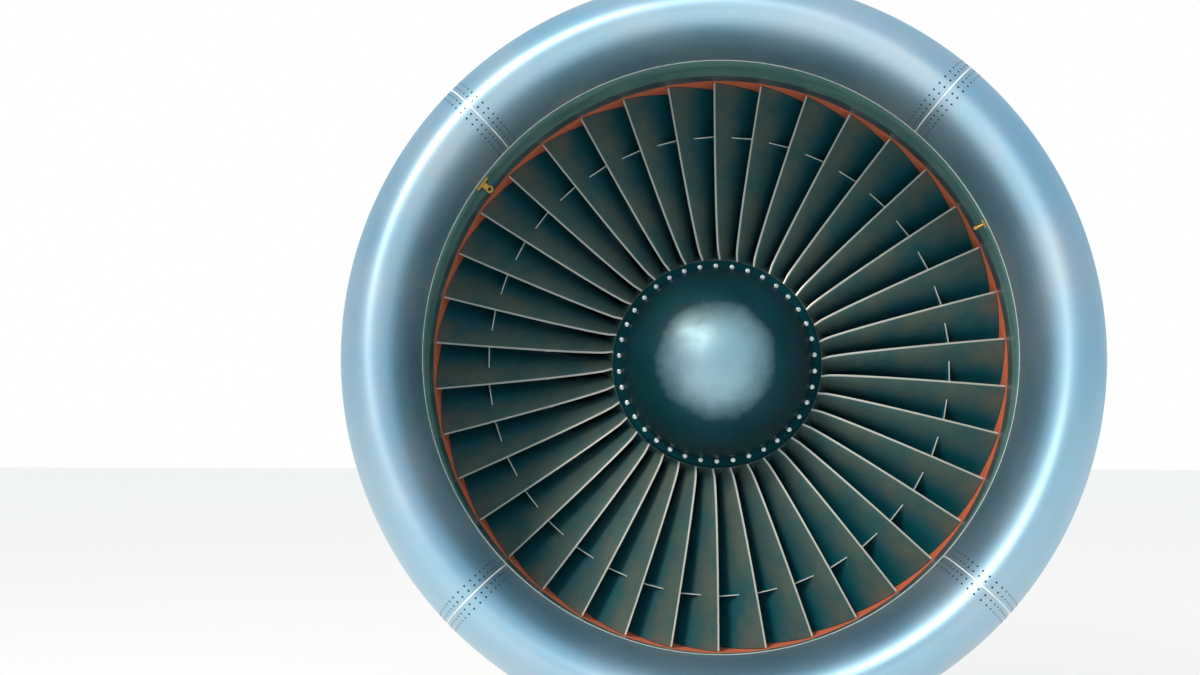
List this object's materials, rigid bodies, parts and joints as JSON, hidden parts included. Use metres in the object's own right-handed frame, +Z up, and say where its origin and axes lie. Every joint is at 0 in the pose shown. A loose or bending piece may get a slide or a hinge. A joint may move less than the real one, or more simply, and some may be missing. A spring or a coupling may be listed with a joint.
{
  "type": "jet engine",
  "caption": "High-bypass turbofan engine in its nacelle, with turning spools, hinged fan cowls and a thrust reverser with sliding sleeves and blocker doors",
  "frame": {"origin": "centre of the forward mount's upper face, where the engine hangs", "axes": "+Y runs aft along the engine axis, +Z is up out of the forward mount, +X is to the right seen from the front"},
  "size_m": [2.6998, 5.44, 2.6953],
  "materials": {
    "lip_metal": "satin brushed",
    "nacelle_paint": "satin",
    "barrel_paint": "satin",
    "primer_green": "matt",
    "blade_metal": "satin",
    "spinner_paint": "gloss",
    "rub_strip": "matt",
    "steel": "satin",
    "case_metal": "satin",
    "hot_metal": "heat tinted",
    "gearbox_cast": "cast",
    "probe_metal": "satin"
  },
  "bodies": {
    "engine": {"intake_lip_segments": "lip_metal", "lip_splice_straps": "lip_metal", "intake_bulkheads": "primer_green", "anti_ice_ring": "steel", "intake_outer_barrel": "nacelle_paint", "intake_inner_barrel": "barrel_paint", "intake_flange_bolts": "steel", "inlet_probes": "probe_metal", "fan_case": "case_metal", "fan_rub_strip": "rub_strip", "outlet_guide_vanes": "blade_metal", "fan_frame": "case_metal", "fan_frame_struts": "case_metal", "splitter_nose": "case_metal", "bypass_inner_wall": "case_metal", "booster_case": "case_metal", "main_bearings": "steel", "compressor_case_upper": "case_metal", "compressor_case_lower": "case_metal", "combustor_case": "hot_metal", "combustor_liner": "hot_metal", "fuel_nozzles": "steel", "core_turbine_case": "hot_metal", "fan_turbine_case": "hot_metal", "turbine_rear_frame": "hot_metal", "turbine_frame_struts": "hot_metal", "exhaust_nozzle": "hot_metal", "exhaust_plug": "hot_metal", "core_cowl_left": "case_metal", "core_cowl_right": "case_metal", "accessory_gearbox": "gearbox_cast", "starter": "steel", "generator": "steel", "oil_tank": "case_metal", "forward_mount": "steel", "aft_mount": "steel"},
    "fan_spool": {"spinner_dome": "spinner_paint", "spinner_ring": "spinner_paint", "spinner_bolts": "steel", "fan_disk": "steel", "fan_blades": "blade_metal", "booster_rotor": "steel", "fan_shaft": "steel", "fan_turbine_rotor": "hot_metal"},
    "core_spool": {"compressor_rotor": "steel", "core_turbine_rotor": "hot_metal"},
    "fan_cowl_left_door": {"fan_cowl_left": "nacelle_paint"},
    "reverser_half_left": {"reverser_frame_left": "case_metal"},
    "sleeve_left": {"reverser_sleeve_left": "nacelle_paint"},
    "blocker_left_1": {"blocker_door_left_1": "case_metal"},
    "blocker_left_2": {"blocker_door_left_2": "case_metal"},
    "blocker_left_3": {"blocker_door_left_3": "case_metal"},
    "blocker_left_4": {"blocker_door_left_4": "case_metal"},
    "fan_cowl_right_door": {"fan_cowl_right": "nacelle_paint"},
    "reverser_half_right": {"reverser_frame_right": "case_metal"},
    "sleeve_right": {"reverser_sleeve_right": "nacelle_paint"},
    "blocker_right_1": {"blocker_door_right_1": "case_metal"},
    "blocker_right_2": {"blocker_door_right_2": "case_metal"},
    "blocker_right_3": {"blocker_door_right_3": "case_metal"},
    "blocker_right_4": {"blocker_door_right_4": "case_metal"}
  },
  "joints": [
    {"name": "fan_spin", "type": "hinge", "parent": "engine", "child": "fan_spool", "pos_m": [0, -0.86, -1.215], "axis": [0, -1, 0], "continuous": true},
    {"name": "core_spin", "type": "hinge", "parent": "engine", "child": "core_spool", "pos_m": [0, -0.86, -1.215], "axis": [0, -1, 0], "continuous": true},
    {"name": "fan_cowl_left_hinge", "type": "hinge", "parent": "engine", "child": "fan_cowl_left_door", "pos_m": [-0.135, -0.448, 0.077], "axis": [0, 1, 0], "range_deg": [0, 45]},
    {"name": "reverser_left_hinge", "type": "hinge", "parent": "engine", "child": "reverser_half_left", "pos_m": [-0.135, 0.402, 0.02], "axis": [0, 1, 0], "range_deg": [0, 45]},
    {"name": "sleeve_left_slide", "type": "slide", "parent": "reverser_half_left", "child": "sleeve_left", "axis": [0, 1, 0], "range_m": [0, 0.43]},
    {"name": "blocker_left_1_hinge", "type": "hinge", "parent": "sleeve_left", "child": "blocker_left_1", "pos_m": [-0.56883, 0.14, -0.31345], "axis": [-0.8457, 0, -0.5336], "range_deg": [0, 90]},
    {"name": "blocker_left_2_hinge", "type": "hinge", "parent": "sleeve_left", "child": "blocker_left_2", "pos_m": [-1.01805, 0.14, -0.89889], "axis": [-0.2965, 0, -0.955], "range_deg": [0, 90]},
    {"name": "blocker_left_3_hinge", "type": "hinge", "parent": "sleeve_left", "child": "blocker_left_3", "pos_m": [-0.97943, 0.14, -1.6358], "axis": [0.3947, 0, -0.9188], "range_deg": [0, 90]},
    {"name": "blocker_left_4_hinge", "type": "hinge", "parent": "sleeve_left", "child": "blocker_left_4", "pos_m": [-0.47148, 0.14, -2.17107], "axis": [0.8969, 0, -0.4423], "range_deg": [0, 90]},
    {"name": "fan_cowl_right_hinge", "type": "hinge", "parent": "engine", "child": "fan_cowl_right_door", "pos_m": [0.135, -0.448, 0.077], "axis": [0, -1, 0], "range_deg": [0, 45]},
    {"name": "reverser_right_hinge", "type": "hinge", "parent": "engine", "child": "reverser_half_right", "pos_m": [0.135, 0.402, 0.02], "axis": [0, -1, 0], "range_deg": [0, 45]},
    {"name": "sleeve_right_slide", "type": "slide", "parent": "reverser_half_right", "child": "sleeve_right", "axis": [0, 1, 0], "range_m": [0, 0.43]},
    {"name": "blocker_right_1_hinge", "type": "hinge", "parent": "sleeve_right", "child": "blocker_right_1", "pos_m": [0.56883, 0.14, -0.31345], "axis": [-0.8457, 0, 0.5336], "range_deg": [0, 90]},
    {"name": "blocker_right_2_hinge", "type": "hinge", "parent": "sleeve_right", "child": "blocker_right_2", "pos_m": [1.01805, 0.14, -0.89889], "axis": [-0.2965, 0, 0.955], "range_deg": [0, 90]},
    {"name": "blocker_right_3_hinge", "type": "hinge", "parent": "sleeve_right", "child": "blocker_right_3", "pos_m": [0.97943, 0.14, -1.6358], "axis": [0.3947, 0, 0.9188], "range_deg": [0, 90]},
    {"name": "blocker_right_4_hinge", "type": "hinge", "parent": "sleeve_right", "child": "blocker_right_4", "pos_m": [0.47148, 0.14, -2.17107], "axis": [0.8969, 0, 0.4423], "range_deg": [0, 90]}
  ],
  "couplings": [
    {"joint": "blocker_left_1_hinge", "follows": "sleeve_left_slide", "rad_per_m": 3.6529},
    {"joint": "blocker_left_2_hinge", "follows": "sleeve_left_slide", "rad_per_m": 3.6529},
    {"joint": "blocker_left_3_hinge", "follows": "sleeve_left_slide", "rad_per_m": 3.6529},
    {"joint": "blocker_left_4_hinge", "follows": "sleeve_left_slide", "rad_per_m": 3.6529},
    {"joint": "sleeve_right_slide", "follows": "sleeve_left_slide", "ratio": 1},
    {"joint": "blocker_right_1_hinge", "follows": "sleeve_left_slide", "rad_per_m": 3.6529},
    {"joint": "blocker_right_2_hinge", "follows": "sleeve_left_slide", "rad_per_m": 3.6529},
    {"joint": "blocker_right_3_hinge", "follows": "sleeve_left_slide", "rad_per_m": 3.6529},
    {"joint": "blocker_right_4_hinge", "follows": "sleeve_left_slide", "rad_per_m": 3.6529}
  ]
}
